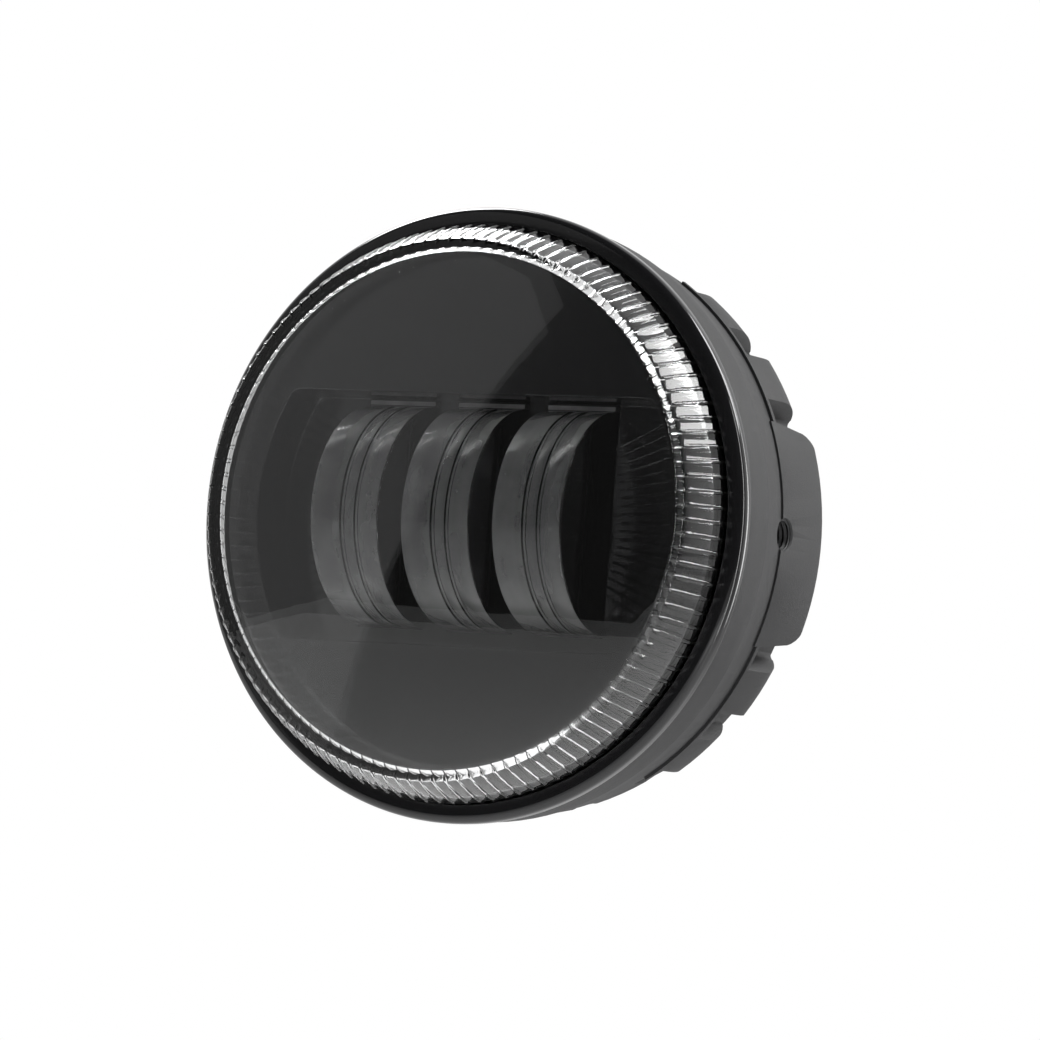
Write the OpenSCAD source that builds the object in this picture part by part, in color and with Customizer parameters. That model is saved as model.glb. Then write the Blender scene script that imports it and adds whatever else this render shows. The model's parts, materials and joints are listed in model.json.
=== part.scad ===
// Round LED fog (passing) lamp: ribbed clear outer lens, gloss black rim ring and mask, three
// half-disc lens bars, and a die-cast housing whose rear is a ring of cooling lobes.
// The lamp's axis is Y. The lens faces -Y, +Z is up, and +X is to the right seen from the front.
// The origin is the centre of the lamp's bounding box, on the lamp's axis.
// Depths named *_s are measured along +Y from the plane of the outer lens's front edge.

/* [Rim and outer lens] */
// Outer diameter of the gloss rim ring
rim_dia = 114.3; // [112:0.1:120]
// Axial thickness of the rim ring
rim_thick = 2.8; // [2:0.1:4]
// Diameter where the lens front turns into its flared edge
lens_front_dia = 99.4; // [98:0.1:100]
// Largest diameter of the flared lens edge
lens_edge_dia = 107; // [106:0.1:107.2]
// Axial length of the flared lens edge
lens_edge_len = 8.3; // [7:0.1:9]
// Share of the lens edge's flare that is rounded, the rest being a cone
lens_bulge = 0.25; // [0.2:0.05:0.4]
// Height of the shallow dome of the lens front
lens_dome = 6; // [6:0.1:8]
// Wall thickness of the outer lens
lens_wall = 2.5; // [2:0.1:2.6]
// Distance from the lens front edge back to the rim's front face
rim_s = 10.1; // [10:0.1:11]

/* [Mask and lens bars] */
// Distance from the lens front edge back to the mask's front face
mask_s = 9.1; // [8.8:0.1:9.5]
// Radius of the rounded ends of the mask's window pocket
pocket_end_r = 43.8; // [42:0.1:44.5]
// Height of the pocket's top edge above the lamp's axis
pocket_top = 22; // [21.8:0.1:23]
// Depth of the pocket's bottom edge below the lamp's axis
pocket_bottom = 24.6; // [22:0.1:26]
// Distance from the lens front edge back to the pocket's floor
pocket_floor_s = 18.1; // [17.8:0.1:18.2]
// Radius of each half-disc lens bar
bar_r = 20.8; // [20:0.1:20.8]
// Height of the lens bars' centres above the lamp's axis
bar_z = -0.4; // [-0.5:0.1:0]
// Width of each lens bar
bar_w = 14.4; // [12:0.1:15]
// Distance between the centres of neighbouring lens bars
bar_pitch = 19.05; // [17.5:0.05:19.3]

/* [Housing] */
// Radius of the housing behind the rim ring
body_r = 56.6; // [56.3:0.1:57]
// Radius of the housing's rear pads and lobes
lobe_r = 55.4; // [55:0.1:56]
// Distance from the lens front edge back to the start of the cooling lobes
lobe_front_s = 31.5; // [31:0.1:32.5]
// Distance from the lens front edge back to the housing's rear face
body_back_s = 47.5; // [47:0.1:49]
// Radius of the housing between the cooling lobes
core_r = 51; // [50:0.1:52]
// Distance from the lens front edge back to the rear end of the lobes next to the side pads
side_lobe_end_s = 46; // [44:0.1:46.2]
// Distance from the lens front edge back to the rear end of the second lobes
second_lobe_end_s = 44; // [41:0.1:44]
// Distance from the lens front edge back to the rear end of the top and bottom lobes
end_lobe_end_s = 39.5; // [38:0.1:41]
// Radius of the top and bottom lobes
end_lobe_r = 54.4; // [53.8:0.1:55]
// Number of valleys between lobes along the top, and as many along the bottom
valleys = 9; // [9:2:11]
// Angle from the side pad's centre to the first valley
first_valley = 23.5; // [23:0.5:24]
// Width of each valley at the lobes' outer radius
valley_w = 6.6; // [6:0.1:7.5]
// Height of each side pad
pad_h = 39.5; // [38.5:0.5:40]
// Distance from the lens front edge back to the side mounting threads
side_hole_s = 30.5; // [30.5:0.1:36]
// Wall radius of the side mounting threads (M6)
side_hole_r = 2.5; // [2.5:0.05:2.6]
// Depth of the side mounting threads
side_hole_depth = 12; // [8:0.5:12.5]

/* [Rear] */
// Radius of the rear cover
cover_r = 45.2; // [44.8:0.1:45.5]
// Thickness of the rear cover
cover_thick = 3.2; // [3:0.1:4]
// Number of screws around the rear cover
cover_screws = 6; // [4:1:8]
// Radius of the cable hole in the gland's rubber seal
cable_r = 3; // [2.5:0.1:3.5]

/* [Hidden] */
$fn = 96;

rim_r = rim_dia / 2;
lens_front_r = lens_front_dia / 2;
lens_edge_r = lens_edge_dia / 2;
lens_inner_r = lens_edge_r - lens_wall;
rim_back_s = rim_s + rim_thick;
body_s = rim_back_s + 0.5;                       // housing front face, behind the shadow gap
lens_foot_s = body_s + 1.7;                      // end of the lens wall inside its groove
seal_back_s = lens_foot_s + 0.8;
cavity_r = 50.4;                                 // front cavity of the housing
mask_r = cavity_r - 0.3;
mask_wall = 1.4;
mask_floor_back_s = pocket_floor_s + mask_wall;

bar_front_s = -1.2;                              // front of the half-discs, just inside the dome
bar_centre_s = bar_front_s + bar_r;
bar_flange_s = mask_floor_back_s + 0.2;
bar_flange_t = 1.6;
carrier_s = bar_flange_s + bar_flange_t;
web_s = 26.9;                                    // front face of the wall across the housing
web_t = 5;
web_back_s = web_s + web_t;
pad_t = 0.5;
board_t = 1.6;
board_s = web_s - pad_t - board_t;
board_w = 70;
board_h = 54;
carrier_w = 67;
carrier_h = 50;
carrier_hole_x = 30.5;
carrier_hole_z = 19.5;
m3_head_r = 2.6;
m3_r = 1.45;
m3_hole_r = 1.5;

driver_cavity_r = 39;
driver_s = web_back_s + 6.6;
driver_back_s = driver_s + board_t;
standoff_xz = 22;
wire_x = 2.2;
wire_z = -25;

gasket_t = 0.8;
cover_s = body_back_s + gasket_t;
cover_back_s = cover_s + cover_thick;
cover_screw_ring_r = 42.3;
gland_boss_r = 10.5;
gland_boss_s = cover_back_s + 2.5;
gland_thread_r = 6;
gland_end_s = gland_boss_s + 9.5;
vent_x = 26;

overall_depth = lens_dome + gland_end_s;
s_to_y = lens_dome - overall_depth / 2;          // turns a depth s into a Y coordinate

// ---------------------------------------------------------------- helpers

// Carries a shape drawn about +Z so that its +Z runs along the lamp's +Y, starting at depth s.
module at_depth(s) {
    translate([0, s + s_to_y, 0]) rotate([-90, 0, 0]) children();
}

// Turned ring between two depths.
module ring(r_out, r_in, s1, s2) {
    at_depth(s1) difference() {
        cylinder(r = r_out, h = s2 - s1);
        translate([0, 0, -1]) cylinder(r = r_in, h = s2 - s1 + 2);
    }
}

// Solid disc between two depths, with its centre at (x, z).
module disc(r, s1, s2, x = 0, z = 0) {
    translate([x, 0, z]) at_depth(s1) cylinder(r = r, h = s2 - s1);
}

// Box between two depths, centred at (x, z).
module slab(w, h, s1, s2, x = 0, z = 0) {
    translate([x - w / 2, s1 + s_to_y, z - h / 2]) cube([w, s2 - s1, h]);
}

// Plate with round corners between two depths.
module round_plate(w, h, r, s1, s2) {
    at_depth(s1) linear_extrude(s2 - s1) union() {
        square([w - 2 * r, h], center = true);
        square([w, h - 2 * r], center = true);
        for (x = [-1, 1], z = [-1, 1]) translate([x * (w / 2 - r), z * (h / 2 - r)]) circle(r = r);
    }
}

// Turned body from an outline of [radius, depth] points. Its seam lies clear of the side holes.
module turned(points) {
    at_depth(0) rotate([0, 0, 36]) rotate_extrude() polygon(points);
}

// Copies the children to the four signs of (x, z).
module four(x, z) {
    for (i = [-1, 1], j = [-1, 1]) translate([i * x, 0, j * z]) children();
}

// Pan-head screw whose head sits in front of depth s and whose shank runs back from it.
module screw_facing_front(shank, head_t = 1.6) {
    disc(m3_head_r, shank[0] - head_t, shank[0]);
    disc(m3_r, shank[0] - 0.01, shank[1]);
}

// Points of an elliptical quarter arc, from (r0 + a, s0) round to (r0, s0 + b).
function quarter(r0, s0, a, b, n) =
    [for (i = [0:n]) let (t = 90 * i / n) [r0 + a * cos(t), s0 + b * sin(t)]];

// Points of the shallow dome, from the axis out to radius r_end, at a depth offset.
function dome(r_end, rise, s_edge, n) =
    [for (i = [0:n]) let (r = r_end * i / n) [r, s_edge - rise * (1 - pow(r / r_end, 2))]];

// Points of the flared lens edge, from its front corner back to its largest radius.
function lens_edge(r_front, r_max, s1, length, n) =
    [for (i = [0:n]) let (t = 90 * i / n, back = 1 - cos(t))
        [r_front + (r_max - r_front) * ((1 - lens_bulge) * back + lens_bulge * sin(t)),
         s1 + length * back]];

// ---------------------------------------------------------------- lens, rim and mask

module outer_lens() {
    inner_front_r = lens_front_r - lens_wall;
    inner_back = [for (i = [8:-1:0]) lens_edge(inner_front_r, lens_inner_r, lens_wall,
                                               lens_edge_len - 2, 8)[i]];
    inner_dome = [for (i = [12:-1:0]) dome(inner_front_r, lens_dome, lens_wall, 12)[i]];
    color("white", 0.35)
        turned(concat(
            dome(lens_front_r, lens_dome, 0, 12),
            lens_edge(lens_front_r, lens_edge_r, 0, lens_edge_len, 12),
            [[lens_edge_r, lens_foot_s], [lens_inner_r, lens_foot_s]],
            inner_back,
            inner_dome));
}

module lens_seal() {
    color("dimgray")
        ring(lens_edge_r + 0.05, lens_inner_r - 0.05, lens_foot_s, seal_back_s);
}

module rim_ring() {
    inner_r = lens_edge_r + 0.2;
    bevel = 0.5;
    color([0.03, 0.03, 0.03])
        turned([
            [inner_r, rim_s], [rim_r - bevel - 0.3, rim_s], [rim_r, rim_s + bevel],
            [rim_r, rim_back_s - bevel], [rim_r - bevel, rim_back_s],
            [rim_r - 1.5, rim_back_s], [rim_r - 1.5, body_s], [inner_r, body_s]
        ]);
}

// Outline of the window pocket: a disc cut flat along the top and the bottom.
module pocket_outline(grow) {
    intersection() {
        circle(r = pocket_end_r + grow);
        translate([-60, -(pocket_top + grow)]) square([120, pocket_top + pocket_bottom + 2 * grow]);
    }
}

module front_mask() {
    window_w = bar_w + 0.6;
    window_top = bar_r + 1.2;
    window_bottom = bar_r + 0.3;
    color([0.04, 0.04, 0.04])
        difference() {
            union() {
                disc(mask_r, mask_s, mask_s + mask_wall);
                ring(mask_r, mask_r - mask_wall, mask_s + 0.5, web_s);
                at_depth(mask_s + 0.5) linear_extrude(mask_floor_back_s - mask_s - 0.5)
                    pocket_outline(mask_wall);
            }
            at_depth(mask_s - 1) linear_extrude(pocket_floor_s - mask_s + 1) pocket_outline(0);
            for (i = [-1:1])
                slab(window_w, window_top + window_bottom, pocket_floor_s - 1, web_s - 3,
                     i * bar_pitch, bar_z + (window_top - window_bottom) / 2);
        }
}

// Clear half-disc bar with a straight root, a base flange behind the mask and a small top tab.
module lens_bar(i) {
    color("white", 0.5)
        translate([i * bar_pitch, 0, bar_z]) {
            intersection() {
                translate([-bar_w / 2, bar_centre_s + s_to_y, 0]) rotate([0, 90, 0])
                    cylinder(r = bar_r, h = bar_w);
                slab(bar_w + 2, 2 * bar_r + 2, -5, bar_centre_s);
            }
            slab(bar_w, 2 * bar_r, bar_centre_s, bar_flange_s);
            slab(bar_w + 2.2, 2 * bar_r + 5, bar_flange_s, carrier_s);
            slab(bar_w, 1.1, pocket_floor_s - 1, bar_flange_s, 0, bar_r + 0.35);
        }
}

module lens_bar_left() { lens_bar(-1); }
module lens_bar_centre() { lens_bar(0); }
module lens_bar_right() { lens_bar(1); }

// ---------------------------------------------------------------- light engine

module lens_carrier() {
    color("black")
        difference() {
            round_plate(carrier_w, carrier_h, 4, carrier_s, board_s);
            for (i = [-1:1])
                slab(bar_w - 2, 2 * bar_r - 3, carrier_s - 1, board_s + 1, i * bar_pitch, bar_z);
            four(carrier_hole_x, carrier_hole_z) disc(m3_hole_r + 0.2, carrier_s - 1, board_s + 1);
        }
}

module carrier_screws() {
    color("silver")
        four(carrier_hole_x, carrier_hole_z) screw_facing_front([carrier_s, web_s + 3.5]);
}

module led_board() {
    color("white")
        difference() {
            round_plate(board_w, board_h, 5, board_s, board_s + board_t);
            four(carrier_hole_x, carrier_hole_z)
                disc(m3_hole_r + 0.2, board_s - 1, board_s + board_t + 1);
        }
}

module each_led() {
    for (i = [-1:1], j = [-1, 1]) translate([i * bar_pitch, 0, j * 6.5]) children();
}

module led_chips() {
    color("khaki") each_led() slab(3.5, 3.5, board_s - 0.7, board_s);
}

module led_domes() {
    color("ivory", 0.6)
        each_led() at_depth(board_s - 0.7) rotate([180, 0, 0]) rotate_extrude()
            polygon(concat([[0, 0]], quarter(0, 0, 1.4, 1.3, 8)));
}

module thermal_pad() {
    color("lightblue")
        difference() {
            slab(board_w - 2, 44, board_s + board_t, web_s);
            four(carrier_hole_x, carrier_hole_z) disc(m3_hole_r + 0.5, board_s, web_s + 1);
        }
}

module wire_grommet() {
    color("black")
        difference() {
            union() {
                disc(4.4, web_s, web_back_s, 0, wire_z);
                disc(5.6, web_back_s, web_back_s + 1.2, 0, wire_z);
            }
            for (i = [-1, 1]) disc(0.95, web_s - 1, web_back_s + 3, i * wire_x, wire_z);
        }
}

module led_wires() {
    color("red") for (i = [-1, 1]) disc(0.9, board_s + board_t, driver_s, i * wire_x, wire_z);
}

// ---------------------------------------------------------------- housing

// Profile of the housing's rear: lobes of a given radius, rounded from start_s to end_s.
function rear_profile(r, start_s, end_s) = concat(
    quarter(core_r, start_s, r - core_r, end_s - start_s, 10),
    [[core_r, body_back_s - 1.2], [core_r - 1.2, body_back_s], [0, body_back_s]]);

// The part of a larger rear that lies within an angle of the side pads' centres.
module side_rear(angle, start_s, end_s) {
    reach = 150;
    intersection() {
        turned(concat([[0, lobe_front_s - 1], [lobe_r, lobe_front_s - 1]],
                      rear_profile(lobe_r, start_s, end_s)));
        at_depth(lobe_front_s - 2) for (side = [0, 180]) rotate([0, 0, side])
            linear_extrude(30) polygon([[0, 0], [reach * cos(angle), -reach * sin(angle)],
                                        [reach * cos(angle), reach * sin(angle)]]);
    }
}

// Turned housing blank, before the valleys and cavities are cut.
module housing_blank(pitch) {
    turned(concat(
        [[0, body_s], [body_r - 0.4, body_s], [body_r, body_s + 0.4],
         [body_r - 0.25, body_s + 8.2], [body_r - 0.45, body_s + 8.5]],
        rear_profile(end_lobe_r, lobe_front_s + 2, end_lobe_end_s)));
    side_rear(first_valley + pitch, side_lobe_end_s - 8, side_lobe_end_s);
    side_rear(first_valley + 2 * pitch, second_lobe_end_s - 9, second_lobe_end_s);
}

// The two side pads, which reach back to the housing's rear face with round rear corners.
module side_pads() {
    corner = 2.4;
    plan_r = 7;
    reach = 80;
    half = pad_h / 2;
    arc = quarter(body_back_s - plan_r, half - plan_r, plan_r, plan_r, 8);
    outline = concat(arc, [[lobe_front_s, half + 1], [lobe_front_s - 3, half + 1]]);
    mirrored = [for (i = [len(outline) - 1:-1:0]) [outline[i][0], -outline[i][1]]];
    intersection() {
        turned(concat([[30, lobe_front_s - 2], [lobe_r, lobe_front_s - 2]],
                      quarter(lobe_r - corner, body_back_s - corner, corner, corner, 6),
                      [[30, body_back_s]]));
        translate([-reach, s_to_y, 0]) rotate([90, 0, 90]) linear_extrude(2 * reach)
            polygon(concat(outline, mirrored));
    }
}

// One valley between lobes: a flat floor with round corners and walls that open outward.
module valley() {
    fillet = 1.2;
    floor_half = valley_w / 2 - 1.6;
    floor_at = core_r + fillet;
    at_depth(lobe_front_s) linear_extrude(30) union() {
        for (i = [-1, 1]) translate([floor_at, i * (floor_half - fillet)]) circle(r = fillet, $fn = 24);
        translate([core_r, fillet - floor_half]) square([4, 2 * (floor_half - fillet)]);
        polygon([[floor_at, -floor_half], [lobe_r, -valley_w / 2], [60, -valley_w / 2 - 2],
                 [60, valley_w / 2 + 2], [lobe_r, valley_w / 2], [floor_at, floor_half]]);
    }
}

module side_hole() {
    chamfer = 0.4;
    rotate([0, 90, 0]) {
        translate([0, 0, lobe_r - side_hole_depth]) cylinder(r = side_hole_r, h = 20);
        translate([0, 0, lobe_r - chamfer]) cylinder(r1 = side_hole_r, r2 = side_hole_r + 2, h = 2);
    }
}

module housing() {
    pitch = (180 - 2 * first_valley) / (valleys - 1);
    color([0.23, 0.23, 0.23])
        difference() {
            union() {
                difference() {
                    housing_blank(pitch);
                    for (side = [0, 180], i = [0:valleys - 1])
                        rotate([0, side + first_valley + i * pitch, 0]) valley();
                }
                side_pads();
            }
            disc(cavity_r, body_s - 1, web_s);
            ring(lens_edge_r + 0.2, lens_inner_r - 0.2, body_s - 1, seal_back_s);
            disc(driver_cavity_r, web_back_s, body_back_s + 1);
            four(carrier_hole_x, carrier_hole_z) disc(m3_hole_r, web_s - 1, web_s + 4);
            four(standoff_xz, standoff_xz) disc(m3_hole_r, web_back_s - 3.4, web_back_s + 1);
            disc(4.5, web_s - 1, web_back_s + 1, 0, wire_z);
            each_cover_screw() disc(m3_hole_r, cover_s - 10, cover_s);
            for (side = [0, 180]) rotate([0, 0, side])
                translate([0, (side == 0 ? 1 : -1) * (side_hole_s + s_to_y), 0]) side_hole();
        }
}

// ---------------------------------------------------------------- driver

module driver_board() {
    color("darkgreen")
        difference() {
            disc(36, driver_s, driver_back_s);
            four(standoff_xz, standoff_xz) disc(1.4, driver_s - 1, driver_back_s + 1);
        }
}

module driver_standoffs() {
    color("goldenrod")
        four(standoff_xz, standoff_xz) difference() {
            union() {
                at_depth(web_back_s) cylinder(r = 3.1, h = driver_s - web_back_s, $fn = 6);
                disc(m3_r, web_back_s - 3, web_back_s + 0.01);
            }
            disc(1.3, driver_s - 4.5, driver_s + 1);
        }
}

module driver_screws() {
    color("silver")
        four(standoff_xz, standoff_xz) {
            disc(2.3, driver_back_s, driver_back_s + 1.5);
            disc(1.25, driver_s - 4, driver_back_s + 0.01);
        }
}

module choke_core() {
    color("dimgray")
        translate([-12, 0, 10]) difference() {
            disc(6.2, driver_back_s + 0.6, driver_back_s + 4.6);
            disc(3.4, driver_back_s, driver_back_s + 6);
        }
}

// Turns of wire around the choke's core: thin square hoops set round the ring.
module choke_winding() {
    turns = 14;
    core_out = 6.2 + 0.05;
    core_in = 3.4 - 0.05;
    mid_r = (core_out + core_in) / 2;
    radial = core_out - core_in;
    low = driver_back_s + 0.55;
    high = driver_back_s + 4.65;
    wire = 0.5;
    color("chocolate")
        translate([-12, 0, 10]) for (i = [0:turns - 1]) rotate([0, i * 360 / turns, 0]) difference() {
            slab(radial + 2 * wire, 0.6, low - wire, high + wire, mid_r);
            slab(radial, 2, low, high, mid_r);
        }
}

module capacitors() {
    color("steelblue")
        for (x = [10, 20]) {
            disc(4, driver_back_s, driver_back_s + 0.8, x, 14);
            disc(3.8, driver_back_s + 0.8, driver_back_s + 6.6, x, 14);
        }
}

module driver_chip() {
    color("black") slab(6, 5, driver_back_s, driver_back_s + 1.5, 6, -4);
}

module diodes() {
    color("black") for (z = [-20, -13]) slab(5, 3.4, driver_back_s, driver_back_s + 2.2, 16, z);
}

module input_terminal() {
    color("white")
        difference() {
            slab(11, 8, driver_back_s, driver_back_s + 5.2, -13, -14);
            for (x = [-2.6, 2.6]) disc(1.3, driver_back_s + 2, driver_back_s + 6, -13 + x, -14);
        }
}

// ---------------------------------------------------------------- rear

module each_cover_screw() {
    for (i = [0:cover_screws - 1])
        rotate([0, 30 + i * 360 / cover_screws, 0]) translate([cover_screw_ring_r, 0, 0]) children();
}

module rear_gasket() {
    color("black")
        difference() {
            ring(cover_r - 0.2, driver_cavity_r + 0.3, body_back_s, cover_s);
            each_cover_screw() disc(m3_hole_r + 0.2, body_back_s - 1, cover_s + 1);
        }
}

module rear_cover() {
    ribs = 8;
    color([0.2, 0.2, 0.2])
        difference() {
            union() {
                turned([[0, cover_s], [cover_r, cover_s], [cover_r, cover_back_s - 1],
                        [cover_r - 1, cover_back_s], [0, cover_back_s]]);
                disc(gland_boss_r, cover_back_s - 0.5, gland_boss_s);
                for (i = [0:ribs - 1]) rotate([0, 22.5 + i * 360 / ribs, 0])
                    slab(26, 1.8, cover_back_s - 0.5, cover_back_s + 1.2, 22.5);
            }
            disc(gland_thread_r, cover_s - 1, gland_boss_s + 1);
            disc(2.6, cover_s - 1, cover_back_s + 1, vent_x);
            each_cover_screw() disc(m3_hole_r + 0.2, cover_s - 1, cover_back_s + 1);
        }
}

module rear_cover_screws() {
    color("silver")
        each_cover_screw() difference() {
            union() {
                disc(m3_head_r, cover_back_s, cover_back_s + 1.8);
                disc(m3_r, cover_s - 8.5, cover_back_s + 0.01);
            }
            at_depth(cover_back_s + 0.7) cylinder(r = 1.45, h = 3, $fn = 6);
        }
}

module vent_plug() {
    color("black")
        difference() {
            union() {
                disc(2.55, cover_s, cover_back_s + 0.01, vent_x);
                disc(4.6, cover_back_s, cover_back_s + 2, vent_x);
            }
            disc(1.3, cover_s - 1, cover_back_s + 0.8, vent_x);
            translate([vent_x, 0, 0]) for (a = [0:60:300]) rotate([0, a, 0])
                slab(2.4, 0.8, cover_back_s + 0.6, cover_back_s + 1.2, 4);
        }
}

module vent_membrane() {
    color("white") disc(1.25, cover_s + 0.4, cover_s + 0.7, vent_x);
}

module gland_body() {
    color("gray")
        difference() {
            union() {
                disc(gland_thread_r - 0.05, cover_s - 2, gland_boss_s + 0.01);
                at_depth(gland_boss_s) cylinder(r = 9, h = 3.5, $fn = 6);
                disc(6.2, gland_boss_s + 3.49, gland_boss_s + 7);
            }
            disc(4.7, cover_s - 3, gland_boss_s + 8);
        }
}

module gland_seal() {
    color("black")
        ring(4.6, cable_r, gland_boss_s - 1, gland_boss_s + 8);
}

module gland_nut() {
    color("gray")
        difference() {
            union() {
                at_depth(gland_boss_s + 3.6) cylinder(r = 8.6, h = 3.6, $fn = 6);
                turned([[0, gland_boss_s + 7.1], [7.2, gland_boss_s + 7.1],
                        [6.6, gland_boss_s + 8.7], [5.6, gland_end_s], [0, gland_end_s]]);
            }
            disc(6.3, gland_boss_s + 3, gland_boss_s + 7.1);
            disc(4.7, gland_boss_s + 7, gland_boss_s + 8.1);
            disc(cable_r + 0.4, gland_boss_s + 7, gland_end_s + 1);
        }
}

outer_lens();
lens_seal();
rim_ring();
front_mask();
lens_bar_left();
lens_bar_centre();
lens_bar_right();
lens_carrier();
carrier_screws();
led_board();
led_chips();
led_domes();
thermal_pad();
housing();
wire_grommet();
led_wires();
driver_board();
driver_standoffs();
driver_screws();
choke_core();
choke_winding();
capacitors();
driver_chip();
diodes();
input_terminal();
rear_gasket();
rear_cover();
rear_cover_screws();
vent_plug();
vent_membrane();
gland_body();
gland_seal();
gland_nut();
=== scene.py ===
"""Round fog lamp: clear ribbed lens, gloss black rim and mask, three clear bars, cast housing."""
import json
import logging
import math
from collections.abc import Callable, Sequence
from dataclasses import dataclass
from enum import Enum

import bmesh
import bpy
from mathutils import Matrix, Quaternion, Vector


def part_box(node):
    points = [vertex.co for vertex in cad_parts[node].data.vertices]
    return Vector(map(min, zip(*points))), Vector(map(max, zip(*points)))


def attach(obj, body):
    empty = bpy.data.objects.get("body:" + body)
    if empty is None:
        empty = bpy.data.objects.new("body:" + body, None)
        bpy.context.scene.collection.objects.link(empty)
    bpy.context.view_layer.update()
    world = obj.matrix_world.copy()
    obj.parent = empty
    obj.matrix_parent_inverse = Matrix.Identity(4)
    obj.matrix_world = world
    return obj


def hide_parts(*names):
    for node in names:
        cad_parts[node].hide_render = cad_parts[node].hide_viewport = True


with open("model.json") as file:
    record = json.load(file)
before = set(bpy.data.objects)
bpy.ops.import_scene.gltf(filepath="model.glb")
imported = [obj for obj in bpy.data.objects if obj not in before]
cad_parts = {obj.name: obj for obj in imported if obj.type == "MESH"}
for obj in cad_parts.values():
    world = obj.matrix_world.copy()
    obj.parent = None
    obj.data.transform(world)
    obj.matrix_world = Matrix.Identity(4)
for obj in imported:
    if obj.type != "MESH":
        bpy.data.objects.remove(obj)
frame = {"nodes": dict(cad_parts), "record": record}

log = logging.getLogger("fog_lamp")

MM = 0.001
BODY = "root"
Point = tuple[float, float, float]
Colour = tuple[float, float, float]


# ------------------------------------------------------------------ node graphs


class Val:
    """A node socket that takes part in Python arithmetic and adds its own Math nodes."""

    def __init__(self, graph: "Graph", socket: bpy.types.NodeSocket) -> None:
        """Wraps a socket.

        Args:
            graph: The graph that the socket belongs to.
            socket: The output socket.
        """
        self.graph = graph
        self.socket = socket

    def __add__(self, other: "Val | float") -> "Val":
        """Returns self + other."""
        return self.graph.math("ADD", self, other)

    def __sub__(self, other: "Val | float") -> "Val":
        """Returns self - other."""
        return self.graph.math("SUBTRACT", self, other)

    def __rsub__(self, other: float) -> "Val":
        """Returns other - self."""
        return self.graph.math("SUBTRACT", other, self)

    def __mul__(self, other: "Val | float") -> "Val":
        """Returns self * other."""
        return self.graph.math("MULTIPLY", self, other)

    __radd__ = __add__
    __rmul__ = __mul__

    def between(self, low: float, high: float) -> "Val":
        """Returns a smooth mask: 0 where self is at or under low, 1 at or over high."""
        settings = {"interpolation_type": "SMOOTHSTEP"}
        return self.graph.add("ShaderNodeMapRange", settings, {0: self, 1: low, 2: high}, 0)


class Graph:
    """A node tree with one way to add a node."""

    def __init__(self, tree: bpy.types.NodeTree) -> None:
        """Takes over a node tree.

        Args:
            tree: The tree that the nodes are added to.
        """
        self.tree = tree

    def node(self, kind: str, settings: dict | None = None,
             inputs: dict | None = None) -> bpy.types.Node:
        """Adds a node: its settings first, then the values or links of its sockets.

        Args:
            kind: The node's type name.
            settings: Node properties.
            inputs: Values or Val links by socket name or number.

        Returns:
            The new node.
        """
        made = self.tree.nodes.new(kind)
        for key, value in (settings or {}).items():
            setattr(made, key, value)
        for key, value in (inputs or {}).items():
            if isinstance(value, Val):
                self.tree.links.new(value.socket, made.inputs[key])
            else:
                made.inputs[key].default_value = value
        return made

    def add(self, kind: str, settings: dict | None = None, inputs: dict | None = None,
            output: int | str = 0) -> Val:
        """Adds a node and returns one of its outputs.

        Args:
            kind: The node's type name.
            settings: Node properties.
            inputs: Values or links by socket name or number.
            output: Which output is returned.

        Returns:
            The wrapped output socket.
        """
        return Val(self, self.node(kind, settings, inputs).outputs[output])

    def math(self, operation: str, a: Val | float, b: Val | float) -> Val:
        """Adds a Math node on two values or links."""
        return self.add("ShaderNodeMath", {"operation": operation}, {0: a, 1: b})


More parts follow.
